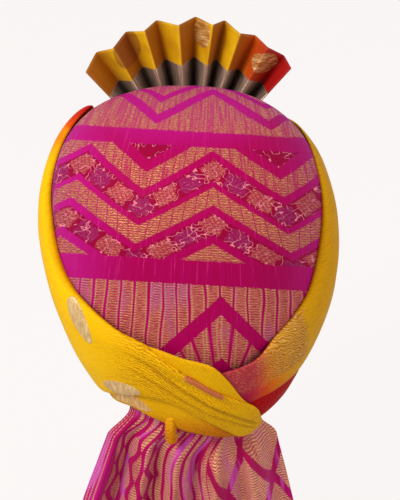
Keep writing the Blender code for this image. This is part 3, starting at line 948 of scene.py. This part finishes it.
def fan_corner(step, v):
    fold = (step + 1) // 2
    side = np.where((fold == 0) | (fold == FAN_PANELS), 0.0, 0.5 - step % 2)
    angle = np.radians(FAN_HALF_TURN * FAN_FOLDS[fold, 0])
    foot = (WINDING_TOP + GAP - FAN_ROOT_Z) / np.cos(angle)
    r = foot + (FAN_REACH * FAN_FOLDS[fold, 1] - foot) * v
    span = np.maximum(r * math.radians(2.0 * FAN_HALF_TURN / FAN_PANELS) - FAN_FLAT, 0.1)
    depth = np.sqrt(FAN_PANEL ** 2 - span ** 2)
    x = r * np.sin(angle) + side * FAN_FLAT * np.cos(angle)
    z = FAN_ROOT_Z + r * np.cos(angle) - side * FAN_FLAT * np.sin(angle)
    near = np.where(fold % 2 == 0, -0.5, 0.5)
    return np.stack((x, FRONT_REACH - POCKET_DEPTH + FAN_STAND - pocket_bow(x) + near * depth, z))


def fan_place(u, v):
    total = 0.0
    for shift, weight in FAN_ROUNDING:
        inward = shift * np.clip(u * FAN_STEPS, 0, 1) * np.clip((1 - u) * FAN_STEPS, 0, 1)
        s = np.clip(u * FAN_STEPS + inward, 0.0, FAN_STEPS - 1e-6)
        at = s.astype(int)
        start, end = fan_corner(at, v), fan_corner(at + 1, v)
        total = total + weight * (start + (end - start) * (s - at))
    x, y, z = total
    return x, y + 0.35 * uneven(x / 7.0, z / 9.0, 61), z


def fan_measure(u, v, x, y, z):
    return u * FAN_STEPS, v * 100.0


fan = cloth_grid("pleated_fan", FAN_STEPS * 8, 40, fan_place, fan_measure)
soft_shade(give_wall(outward(fan, centre=(0.0, 0.2, 0.1)), thickness=0.8, offset=0.0))
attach(fan, "root")
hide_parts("fan")

# %% [markdown]
# The tail is the loose end of the brocade. It is gripped under the last turn and opens into soft upright
# folds. A simulated drop would fold it at random, so a table gives its edges and depth at each height, and
# waves across it are the folds. Above its free line it lies on the bundle, and below it hangs.

# %% Tail
TAIL_FOLDS, TAIL_WAVE, TAIL_LEFT_TURN, TAIL_RIGHT_TURN, TAIL_EASE = 5, 6.5, -35.0, 50.0, 26.0
TAIL = (
    # height, left, right, left_back, right_back, middle_back, wave
    (-0.40, -0.393, 0.500, 0.792, 0.583, 0.883, 0.0),
    (-0.50, -0.429, 0.518, 0.783, 0.517, 0.858, 0.1),
    (-0.60, -0.500, 0.545, 0.758, 0.467, 0.842, 0.35),
    (-0.71, -0.545, 0.571, 0.750, 0.458, 0.833, 0.7),
    (-0.88, -0.616, 0.616, 0.750, 0.492, 0.833, 1.0),
    (-1.14, -0.723, 0.696, 0.750, 0.542, 0.833, 1.05),
    (-1.45, -0.821, 0.777, 0.750, 0.575, 0.842, 1.1),
    (-1.84, -0.902, 0.839, 0.758, 0.600, 0.850, 1.1),
)
TAIL_FREE = ((-0.50,), (-0.55,), (-0.64,), (-0.71,), (-0.65,))
FINE_WAVE = 1.3


def tail_place(u, v):
    height, left, right, left_back, right_back, middle_back, wave = blend(TAIL, v * (len(TAIL) - 1))
    z = CROWN_TOP * height
    edge_back = left_back + (right_back - left_back) * u
    hang_x = HALF_WIDTH * (left + (right - left) * u)
    hang_y = -BACK_REACH * (middle_back + (edge_back - middle_back) * np.abs(2.0 * u - 1.0) ** 2.2)
    sway = 0.12 * uneven(u * 6.0, v * 4.0, 71)
    hang_y = hang_y - TAIL_WAVE * wave * np.sin(2.0 * math.pi * (TAIL_FOLDS * u + sway))
    hang_y = hang_y - FINE_WAVE * wave * np.sin(2.0 * math.pi * (2.6 * TAIL_FOLDS * u + 0.6 + 3 * sway))
    turn = TAIL_LEFT_TURN + (TAIL_RIGHT_TURN - TAIL_LEFT_TURN) * u
    grip_x, grip_y, _ = wound(turn, z, GAP - WRAP_LIFT)
    free = CROWN_TOP * blend(TAIL_FREE, u * (len(TAIL_FREE) - 1))[0]
    loose = smooth((free - z) / TAIL_EASE)
    return grip_x + (hang_x - grip_x) * loose, grip_y + (hang_y - grip_y) * loose, z


tail = cloth_grid("tail_brocade", 340, 110, tail_place, lambda u, v, x, y, z: (u * 250.0, -z))
soft_shade(give_wall(outward(tail, centre=(0.0, 0.1, -0.15)), thickness=0.9))
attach(tail, "root")
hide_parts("tail")

# %% [markdown]
# Inside, the many hidden turns make a ring round the head. Modelling each would add nothing that shows, so the
# ring is one closed piece, with the turns' edges as soft ridges that can be seen from below.

# %% Inner winding
RIDGE_PITCH, GROOVE_DEPTH = 11.0, 1.5


def winding_place(u, v):
    turn = 360.0 * u
    angle = 2.0 * math.pi * v
    low = rim(turn) + WINDING_RISE
    up = 0.5 + 0.5 * signed_power(np.sin(angle), 0.5)
    out = 0.5 + 0.5 * signed_power(np.cos(angle), 0.5)
    z = low + (WINDING_TOP - low) * up
    ridge = np.abs(np.sin(math.pi * (z / RIDGE_PITCH + turn / 360.0 * 2.0 + out * 3.0)))
    groove = GROOVE_DEPTH * (1.0 - ridge) ** 2
    outer = wound(turn, z, -WRAP_LIFT - CLOTH - 2.0 * GAP - groove)
    inner = hollow(turn, z)
    width = np.hypot(outer[0] - inner[0], outer[1] - inner[1])
    share = out + (1.0 - out) * groove / np.maximum(width, 1.0)
    z = z + np.where(up < 0.08, groove, 0.0)
    return inner[0] + (outer[0] - inner[0]) * share, inner[1] + (outer[1] - inner[1]) * share, z


def winding_measure(u, v, x, y, z):
    return u * 560.0, v * 300.0


winding = cloth_grid("inner_winding_cloth", 240, 150, winding_place, winding_measure)
soft_shade(outward(winding, closed=True))
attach(winding, "root")
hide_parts("inner_winding")

# %% [markdown]
# The yellow cloth is a crepe: its overspun threads shrink into a fine pebbled grain. The grain is too fine for
# the mesh, so it is noise over the cloth's measure. The cloth is dyed from yellow through orange to red toward
# one end, and here the dye follows the place on the turban that each part reached. Gold ovals are woven in.

# %% Crepe grain and dye
CREPE = {"roughness": 0.6, "sheen": 0.08, "sheen_tint": (1.0, 0.6, 0.05, 1.0), "specular": 0.08}
print("crepe surface:", CREPE)


def crepe(f, across, down, grainy):
    """Colour shade from 0 to 1 and height of the crepe's pebbled grain."""
    grain = f.noise(across * 1.25, down * 1.25, 2.0, 0.7)
    waver = f.noise(across * 0.3, down * 0.3, 1.0) * 3.0
    row = ((down * 0.9 + across * 0.35 + waver) * 3.6).sine() * 0.5 + 0.5
    slub = f.noise(across * 0.09, down * 0.5, 2.0, 3.3)
    pits = (grain * 0.7 + row * 0.3).over(0.62, 0.34)
    return pits * grainy + slub.over(0.55, 0.75) * 0.18, grain * (0.12 + 0.4 * grainy) + row * grainy * 0.12


def dyed_and_shaded(tone, shade):
    """Yellow where the tone is 0, orange at a half and red at 1, and a darker copy of each where the shade is
    1, which is partly the grain's pits and partly painted shade.
    """
    light = (tone * 2.0).both(1.0).mix(dye(244, 190, 0), dye(226, 84, 6))
    light = (tone * 2.0 - 1.0).either(0.0).mix(light, dye(190, 16, 14))
    deep = (tone * 2.0).both(1.0).mix(dye(172, 104, 0), dye(160, 44, 6))
    deep = (tone * 2.0 - 1.0).either(0.0).mix(deep, dye(120, 4, 12))
    return shade.mix(light, deep)


def reddened(f):
    """How far the dye has gone to red by place: at the upper left and over the left of the brow."""
    x, y, z = f.place(0), f.place(1), f.place(2)
    cloud = (f.noise(x * 0.04, z * 0.04, 2.0) - 0.5) * 26.0
    high = (z + cloud).over(88.0, 118.0) * (1.0 - (x + cloud).over(-40.0, 50.0))
    brow = (y + cloud).over(45.0, 95.0) * (1.0 - (x + cloud).over(-70.0, 55.0))
    return high.either(brow)


def zari(f, across, down, pitch=1.5):
    """Flat gold thread in fine rows: its colour, how much of it shows, and its relief."""
    waver = (f.noise(across * 0.4, down * 0.4, 2.0) - 0.5) * 3.0
    rows = ((across + waver) * (2 * math.pi / pitch)).sine() * 0.5 + 0.5
    gleam = f.noise(across * 0.5, down * 0.16, 2.0, 7.7)
    colour = gleam.over(0.35, 0.6).mix(dye(176, 112, 50), dye(222, 172, 106))
    colour = gleam.over(0.58, 0.72).mix(colour, dye(246, 222, 170))
    return colour, 0.45 + 0.55 * rows, rows


def spot(across, down, centre, size, slant=0.0):
    """1 inside a pointed oval at this place on the cloth."""
    a = ((across - centre[0]) + (down - centre[1]) * slant) * (1.0 / size[0])
    b = ((down - centre[1]) - (across - centre[0]) * slant) * (1.0 / size[1])
    return 1.0 - (a * a + b * b).over(0.88, 1.0)

# %% [markdown]
# The gold ovals, the start of the dye and the pink stitches are easier to find on the turban than along the
# cloth. So a turn and a height are looked up in the table, and the answer is a place on the cloth.

# %% Places on the last turn
def on_turn(turn, z):
    """The measures along and up the last turn where its face passes this turn and height."""
    places, run = run_of(LAST_TURN)
    rows = blend(LAST_TURN, places)
    share = np.clip((z / CROWN_TOP - rows[3]) / (rows[1] - rows[3]), 0.0, 1.0)
    here = rows[2] + (rows[0] - rows[2]) * share
    at = int(np.argmin(np.abs(here - turn)))
    return run[at], share[at] * width_at(rows)[at]


SPOT_ONE, SPOT_TWO = on_turn(315.5, 1.0), on_turn(330.0, -46.0)
CROSSING_RED, CROSSING_ORANGE = on_turn(26, -36.0)[0], on_turn(34, -30.0)[0]
CROSSING_YELLOW = on_turn(51, -2.0)[0]
STITCH_FROM, STITCH_TO = on_turn(358.5, -28.0)[0], on_turn(372.0, -46.0)[0]
print("spots at", [round(float(c)) for c in (*SPOT_ONE, *SPOT_TWO)], "stitches from", round(float(STITCH_FROM)))

# %% [markdown]
# Where the turn starts under the crossing it is red and orange, with a worn gold border laid over it. Farther
# along it is plain yellow, and its end is grainier where it was wrung. Masks over the length along the cloth
# place all three, roughened by noise so that no border is straight.

# %% Dye and gold of the last turn
yellow, yellow_shader, f = new_cloth_material("dyed_crepe", **CREPE)
run, down = f.cloth()


def to_end(far, near):
    """0 far from the tucked end, 1 near it, between these two distances from it."""
    return run.over(last_length - far, last_length - near)


ragged = (f.noise(run * 0.35, down * 0.5, 2.0, 1.9) - 0.5) * 12.0
grainy = 0.15 + 0.5 * to_end(145.0, 105.0) * (1.0 - to_end(45.0, 15.0) * 0.6)
shade, height = crepe(f, run, down, grainy)
# painted shade: darker on the right, away from the light, and a little darker toward the tucked end
painted_shade_right = f.place(0).over(30.0, 90.0)
past_crossing = (run + ragged * 0.6 + down * 0.5).over(CROSSING_RED, CROSSING_YELLOW + 4.0)
tone = reddened(f).either(0.62 - past_crossing * 0.62)
colour = dyed_and_shaded(tone, (shade + painted_shade_right * 0.55 + to_end(175.0, 120.0) * 0.2).both(1.0))
start = 1.0 - (run + ragged * 0.9 - down * 0.15).over(CROSSING_RED - 8.0, CROSSING_ORANGE)
colour = start.mix(colour, shade.mix(dye(168, 18, 62), dye(120, 4, 40)))
gold, shown, rows = zari(f, run, down)
border = 1.0 - (run + ragged * 1.2).over(CROSSING_YELLOW - 3.0, CROSSING_YELLOW + 3.0)
border = border * (down + ragged * 0.4).over(12.0, 18.0)
border = border * (0.3 + 0.7 * (run + ragged).over(CROSSING_RED, CROSSING_ORANGE + 8.0))
drift = (f.noise(run * 0.12, down * 0.12, 2.0, 5.1) - 0.5) * 26.0
laid = ((down * 2.6 + run * 0.7 + drift) * 1.15).sine().over(-0.5, 0.5)
rough = f.noise(run * 0.9, down * 0.9, 2.0, 6.4).over(0.42, 0.56)
colour = (border * (1.0 - laid) * 0.75).mix(colour, dye(150, 84, 18))
spots = spot(run, down, SPOT_ONE, (7.0, 24.0), 0.5).either(spot(run, down, SPOT_TWO, (20.0, 6.5), -0.2))
metal = (border * laid * (0.25 + rough * 0.6)).either(spots * (0.75 + shown * 0.25))
gold = (border * 0.7).mix(gold, dye(214, 156, 88))
colour = metal.mix(colour, (spots * 0.45).mix(gold, dye(244, 218, 168)))
print("the dye changes between", round(float(CROSSING_RED)), "and", round(float(CROSSING_YELLOW)), "mm")

# %% [markdown]
# Two creases run along the turn near its end, where the cloth was drawn tight, and a row of pink stitches holds
# its upper edge. Both are too small for the mesh, so they are bump and colour over the second UV map. The
# creases' colour is a painted shade.

# %% Creases and stitches of the last turn
edge_down = f.node("ShaderNodeUVMap", {"uv_map": "edge"})
top_edge = f.node("ShaderNodeSeparateXYZ", {}, {0: edge_down}, 0)
first = 1.0 - abs(top_edge - 15.0 - (run - last_length + 60.0) * 0.06 + ragged * 0.2).over(0.2, 2.6)
second = (1.0 - abs(top_edge - 23.0 + ragged * 0.25).over(0.2, 2.2)) * 0.7
creases = first.either(second) * to_end(135.0, 95.0) * (1.0 - to_end(14.0, 4.0))
# painted shade: the creases darker, as in the shade of their folds
colour = (creases * 0.4).mix(colour, dye(140, 78, 0))
pink = (run + ragged * 0.3).between(STITCH_FROM, STITCH_TO, 2.0)
pink = pink * (1.0 - (top_edge + ragged * 0.15).over(4.0, 5.0))
strokes = ((run * 1.1 + top_edge * 1.6) * 2.4).sine().over(-0.2, 0.4)
colour = (pink * strokes).mix(colour, dye(214, 96, 92))
colour = (pink * (1.0 - strokes) * 0.6).mix(colour, dye(140, 60, 20))
height = height - creases * 0.9 + spots * 0.25 + metal * rows * 0.2 + pink * strokes * 0.4
wire(f, yellow_shader, Base_Color=colour, height=height, Metallic=metal * 0.45, Roughness=0.62 - metal * 0.22)
dress(yellow, last_turn)

# %% [markdown]
# The flap, the lower layer, the nub and the front folds are the same crepe. Each lies in its own shade of the
# light, so one function makes the material with a little more or less painted shade.

# %% Shader of the smaller yellow pieces
def small_yellow(name, darker, spot_place=None):
    """A piece of the yellow crepe with its own painted shade, and a gold spot if a place is given."""
    made, shader, f = new_cloth_material(name, **CREPE)
    run, down = f.cloth()
    shade, height = crepe(f, run, down, 0.3)
    # painted shade: darker and a little more orange toward the bottom, which lies in shade
    below = 1.0 - f.place(2).over(-84.0, -58.0)
    colour = dyed_and_shaded(reddened(f).either(below * 0.2), (shade + below * 0.4 + darker).both(1.0))
    if spot_place is None:
        wire(f, shader, Base_Color=colour, height=height)
        return made
    gold, shown, rows = zari(f, run, down)
    there = spot(run, down, spot_place, (19.0, 6.5))
    colour = (there * (0.7 + 0.3 * shown)).mix(colour, (there * 0.4).mix(gold, dye(240, 196, 140)))
    wire(f, shader, Base_Color=colour, height=height + there * 0.3, Metallic=there * 0.4,
         Roughness=0.62 - there * 0.2)
    return made


# the second number is each piece's painted shade
dress(small_yellow("flap_crepe", 0.28), flap)
dress(small_yellow("lower_crepe", 0.32, (36.0, 9.0)), lower_layer)
front_folds = [o for o in bpy.data.objects if o.name.startswith("front_fold_cloth")]
dress(small_yellow("fold_crepe", 0.15), nub, *front_folds)

# %% [markdown]
# The under turn is a crimson length of the same cloth, with one thin gold line along its lower edge. It keeps
# the crepe's grain and only changes the dye, so it uses the same helpers.

# %% Crimson shader
crimson, crimson_shader, f = new_cloth_material(
    "crimson_crepe", roughness=0.6, sheen=0.08, sheen_tint=(1.0, 0.2, 0.2, 1.0), specular=0.06)
run, down = f.cloth()
shade, height = crepe(f, run, down, 0.4)
colour = shade.mix(dye(170, 2, 10), dye(112, 0, 6))
gold, _, _ = zari(f, run, down)
line = down.between(1.2, 3.0, 0.3)
colour = (line * 0.8).mix(colour, gold)
wire(f, crimson_shader, Base_Color=colour, height=height + line * 0.2)
dress(crimson, under_turn)

# %% [markdown]
# The fan shows the cloth's woven end. Its outer part is yellow silk that turns orange and red at the right,
# with a few gold ovals, and its inner border is a grey metal tissue whose satin folds gleam. The measure across
# counts the steps between folds, so each flank of a pleat can have its own light.

# %% Fan shader
fan_cloth, fan_shader, f = new_cloth_material(
    "fan_silk", roughness=0.5, sheen=0.1, sheen_tint=(1.0, 0.8, 0.5, 1.0), specular=0.25)
step, down = f.cloth()
x, z = f.place(0), f.place(2)
weft = f.noise(step * 0.4, down * 1.4, 2.0, 0.9)
warp = f.noise(step * 4.0, down * 0.05, 2.0, 4.9)
tone = (x + (z - 140.0) * -0.25 + (weft - 0.5) * 4.0).over(30.0, 68.0)
flank = f.math("FRACT", (step + 0.5) * 0.25)
glint = f.noise(step * 0.7, down * 0.05, 1.0, 1.1).over(0.4, 0.6)
lit = (flank.over(0.50, 0.86) * (0.6 + 0.35 * glint)).either(1.0 - flank.over(0.0, 0.12))
shine = lit.mix(dye(160, 90, 0), dye(240, 190, 0))
light = (tone * 2.0).both(1.0).mix(shine, dye(204, 76, 6))
light = (tone * 2.0 - 1.0).either(0.0).mix(light, dye(176, 12, 10))
colour = (weft * 0.35 + warp * 0.2).mix(light, tone.mix(dye(150, 84, 0), dye(110, 6, 6)))
tissue = 1.0 - (down + (weft - 0.5) * 1.2).over(67.6, 68.6)
colour = tissue.mix(colour, warp.over(0.3, 0.7).mix(dye(170, 142, 124), dye(216, 190, 172)))
# painted shade: the tissue darkened in the valleys between its folds
valley = (step + 0.5).fold(2.0) * 0.5
colour = (tissue * valley.over(0.25, 0.8) * 0.85).mix(colour, dye(34, 20, 14))
gold, shown, rows = zari(f, z, x, 1.7)


def oval(x, z, centre, size):
    a, b = (x - centre[0]) * (1.0 / size[0]), (z - centre[1]) * (1.0 / size[1])
    return 1.0 - (a * a + b * b).over(0.86, 1.0)


ovals = oval(x, z, (60.0, 138.0), (11.0, 9.5)).either(oval(x, z, (10.0, 160.0), (6.5, 11.0)))
shadow_oval = oval(x, z, (-49.0, 149.0), (11.0, 15.0)) * (1.0 - tissue)
colour = (shadow_oval * (0.35 + 0.5 * weft)).mix(colour, dye(124, 58, 20))
ovals = ovals * (1.0 - tissue)
colour = (ovals * shown).mix(colour, gold)
wire(f, fan_shader, Base_Color=colour, height=weft * 0.15 + warp * 0.1 + ovals * rows * 0.2,
     Metallic=(tissue * 0.7).either(ovals * 0.4), Roughness=0.55 - tissue * 0.2)
dress(fan_cloth, fan)

# %% [markdown]
# The lining is plain undyed cotton seen only from below. Two crossed sine waves are enough for its plain weave.

# %% Lining shader
lining, lining_shader, f = new_cloth_material(
    "winding_cotton", roughness=0.8, sheen=0.1, sheen_tint=(1.0, 0.9, 0.7, 1.0), specular=0.1)
run, down = f.cloth()
weave = (run * 4.2).sine() * (down * 4.2).sine()
cloud = f.noise(run * 0.06, down * 0.06, 2.0)
colour = (weave * 0.25 + 0.25 + cloud * 0.4).mix(dye(216, 156, 60), dye(170, 104, 30))
wire(f, lining_shader, Base_Color=colour, height=weave * 0.12)
dress(lining, winding)

# %% [markdown]
# The tail is the same brocade as the crown, but here the gold makes columns of leaves between upright bands,
# and at the right a wide lattice of diamonds. A leaf is a column that swells and shrinks with a sine wave down
# the cloth, and a diamond is where two slanting stripes leave a space.

# %% Gold of the tail
LEAF_LENGTH, LEAF_COLUMN, DIAMOND = 26.0, 12.0, 58.0
tail_cloth, tail_shader, f = new_cloth_material(
    "tail_brocade_silk", roughness=0.5, sheen=0.35, sheen_tint=(0.9, 0.35, 0.9, 1.0), specular=0.08)
across, down = f.cloth()
jag = (f.noise(across * 0.8, down * 0.5, 1.0, 2.2) - 0.5) * 2.4
silk, thread = silk_ground(f, across, down)
gold, rows = gold_rows(f, across, down)
flow = across + (f.noise(across * 0.02, down * 0.022, 1.0, 3.1) - 0.5) * 22.0
column = (flow - 34.0 + jag * 0.4) * (1.0 / LEAF_COLUMN)
odd = column.fold(1.0).over(0.48, 0.52)
leaf_down = ((down + jag + odd * (LEAF_LENGTH / 2)) * (1.0 / LEAF_LENGTH)).fold(0.5) * 2.0
leaf = ((leaf_down * (math.pi / 2)).sine() * 0.44 - column.fold(0.5)).over(0.0, 0.06)
leaves = leaf * flow.between(21.0, 82.0, 1.0)
rising = ((across + down * 0.8 + jag) * (1.0 / DIAMOND)).fold(0.5)
falling = ((across - down * 0.8 + jag) * (1.0 / DIAMOND)).fold(0.5)
diamonds = rising.over(0.07, 0.09) * falling.over(0.07, 0.09) * flow.over(150.0, 152.0)
stripes = across.between(2.0, 3.6, WOVEN_EDGE).either(across.between(5.6, 7.0, WOVEN_EDGE))
stripes = stripes.either(across.between(9.5, 11.0, WOVEN_EDGE))
wide = f.noise(flow * 0.09, down * 0.008, 1.0, 6.6)
ribbed = flow.between(84.0, 150.0, 0.6) * (1.0 - flow.fold(5.6).over(2.6 + wide * 1.6, 3.4 + wide * 1.6))
patchy = f.noise(flow * 0.04, down * 0.03, 2.0, 8.8).over(0.40, 0.52)
gold_here = leaves.either(diamonds).either(stripes * 0.8).either(ribbed * patchy)
print("leaves are", LEAF_LENGTH, "mm long, in columns", LEAF_COLUMN, "mm apart")

# %% [markdown]
# The folds of thin silk show lighter and darker streaks where light passes through. Real translucency would
# cost much and bake badly, so a long upright noise tints the silk lilac and deep red.

# %% Tail shader
rungs = ((down + (wide - 0.5) * 9.0) * (2 * math.pi / 2.2)).sine().over(-0.5, 0.2)
metal = gold_here * (0.35 * gold.over(0.32, 0.72) + 0.65 * rungs)
tonal = f.noise(across * 0.35, down * 1.3, 2.0, 9.9)
colour = (gold_here * 0.4).mix(silk, dye(180, 50, 84))
# painted highlight: pale gold where a noise is high, as on the crown
colour = metal.mix(colour, tonal.over(0.3, 0.62).mix(GOLD, PALE_GOLD))
gleam = f.noise(flow * 0.07, down * 0.012, 2.0, 5.2)
colour = (gleam.over(0.54, 0.64) * (0.25 + 0.5 * (1.0 - gold_here))).mix(colour, dye(208, 84, 186))
colour = ((1.0 - gleam.over(0.36, 0.45)) * 0.4).mix(colour, dye(150, 16, 56))
wire(f, tail_shader, Base_Color=colour, height=metal * (0.2 + 0.2 * rows) + thread * 0.15,
     Metallic=metal * 0.35, Roughness=0.6 - metal * 0.2)
dress(tail_cloth, tail)
print("materials:", [m.name for m in bpy.data.materials if m.users])

# %% [markdown]
# The floor is plain and pale. Paint alone would turn grey under the soft light, so it glows a little, and meets
# the background without a line.

# %% Floor
bpy.ops.object.select_all(action="DESELECT")
bpy.ops.mesh.primitive_plane_add(size=12.0, location=(0.0, 0.0, -0.2495))
floor = bpy.context.object
floor.name = "pale_floor"
paper, paper_shader, _ = new_cloth_material(
    "pale_paper", roughness=0.9, sheen=0.0, sheen_tint=(1.0, 1.0, 1.0, 1.0), specular=0.0)
paper_shader.inputs["Base Color"].default_value = (0.06, 0.06, 0.06, 1.0)
paper_shader.inputs["Emission Color"].default_value = dye(252, 248, 247)
paper_shader.inputs["Emission Strength"].default_value = 0.93
floor.data.materials.append(paper)
floor.visible_diffuse = False
floor.visible_glossy = False
print("floor at", round(floor.location.z * 1000, 1), "mm")

# %% [markdown]
# Cloth looks best without hard shadows, so the light is a broad soft one from the upper left. A sun lamp would
# be too sharp. A disk-shaped area light stands for a window, a weaker one opposite fills the shade, and a pale
# sky lights the rest. Both lights point at the bundle's middle.

# %% Light
world = bpy.data.worlds.new("soft_room")
bpy.context.scene.world = world
world.use_nodes = True
world.node_tree.nodes["Background"].inputs["Color"].default_value = (1.0, 0.985, 0.97, 1.0)
world.node_tree.nodes["Background"].inputs["Strength"].default_value = 0.62


def softbox(name, place, size, power, colour=(1.0, 0.98, 0.95)):
    bpy.ops.object.light_add(type="AREA", location=place)
    light = bpy.context.object
    light.name = name
    light.data.shape, light.data.size = "DISK", size
    light.data.energy, light.data.color = power, colour
    away = light.location - type(light.location)((0.0, 0.0, 0.02))
    light.rotation_euler = away.to_track_quat("Z", "Y").to_euler()


softbox("window", (-1.1, -1.1, 1.3), 0.9, 30.0)
softbox("fill", (1.4, -0.9, 0.7), 1.2, 7.0)
bpy.context.scene.view_settings.view_transform = "Standard"
